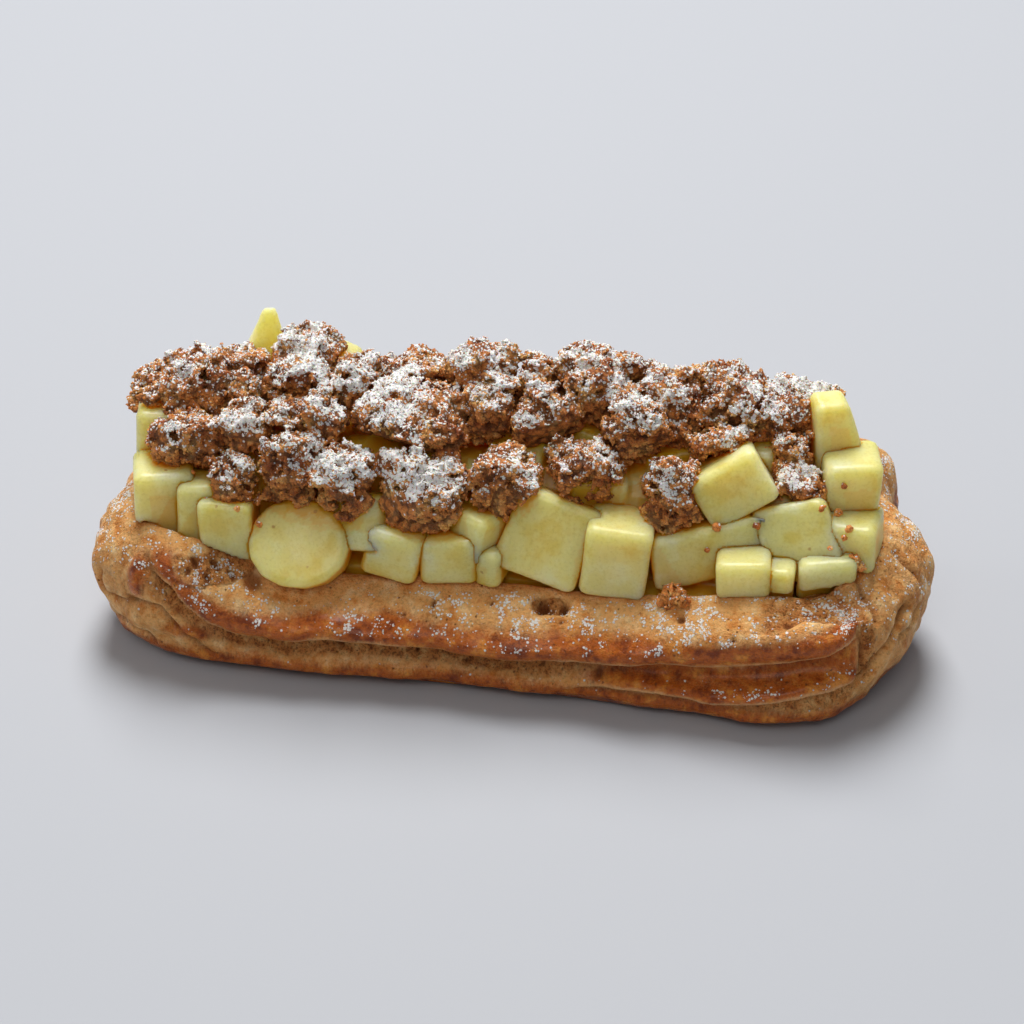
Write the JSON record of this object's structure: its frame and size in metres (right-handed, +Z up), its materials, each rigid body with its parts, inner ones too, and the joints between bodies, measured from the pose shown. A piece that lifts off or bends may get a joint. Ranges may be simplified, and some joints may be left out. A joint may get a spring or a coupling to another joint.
{
  "type": "apple crumble eclair",
  "caption": "Long choux bun cut open along its top, filled with cut apple and heaped with baked crumble pieces dusted with icing sugar; rests on a flat foot.",
  "frame": {"origin": "middle of the bounding box seen from above, at the flat foot that the bun rests on", "axes": "+X along the bun towards its broader end, -Y towards the front as shown, +Z up"},
  "size_m": [0.1432, 0.0556, 0.0515],
  "materials": {
    "choux": "satin",
    "apple": "satin",
    "crumble": "matte"
  },
  "bodies": {
    "root": {"choux_bun": "choux", "apple_bed": "apple", "apple_piece_01": "apple", "apple_piece_02": "apple", "apple_piece_03": "apple", "apple_piece_04": "apple", "apple_piece_05": "apple", "apple_piece_06": "apple", "apple_piece_07": "apple", "apple_piece_08": "apple", "apple_piece_09": "apple", "apple_piece_10": "apple", "apple_piece_11": "apple", "apple_piece_12": "apple", "apple_piece_13": "apple", "apple_piece_14": "apple", "apple_piece_15": "apple", "apple_piece_16": "apple", "apple_piece_17": "apple", "apple_piece_18": "apple", "apple_piece_19": "apple", "apple_piece_20": "apple", "apple_piece_21": "apple", "apple_piece_22": "apple", "apple_piece_23": "apple", "apple_piece_24": "apple", "apple_piece_25": "apple", "apple_piece_26": "apple", "apple_piece_27": "apple", "apple_piece_28": "apple", "apple_piece_29": "apple", "crumble_piece_01": "crumble", "crumble_piece_02": "crumble", "crumble_piece_03": "crumble", "crumble_piece_04": "crumble", "crumble_piece_05": "crumble", "crumble_piece_06": "crumble", "crumble_piece_07": "crumble", "crumble_piece_08": "crumble", "crumble_piece_09": "crumble", "crumble_piece_10": "crumble", "crumble_piece_11": "crumble", "crumble_piece_12": "crumble", "crumble_piece_13": "crumble", "crumble_piece_14": "crumble", "crumble_piece_15": "crumble", "crumble_piece_16": "crumble", "crumble_piece_17": "crumble", "crumble_piece_18": "crumble", "crumble_piece_19": "crumble", "crumble_piece_20": "crumble", "crumble_piece_21": "crumble", "crumble_piece_22": "crumble", "crumble_piece_23": "crumble", "crumble_piece_24": "crumble", "crumble_piece_25": "crumble", "crumble_piece_26": "crumble", "crumble_piece_27": "crumble", "crumble_piece_28": "crumble", "crumble_piece_29": "crumble"}
  },
  "joints": []
}
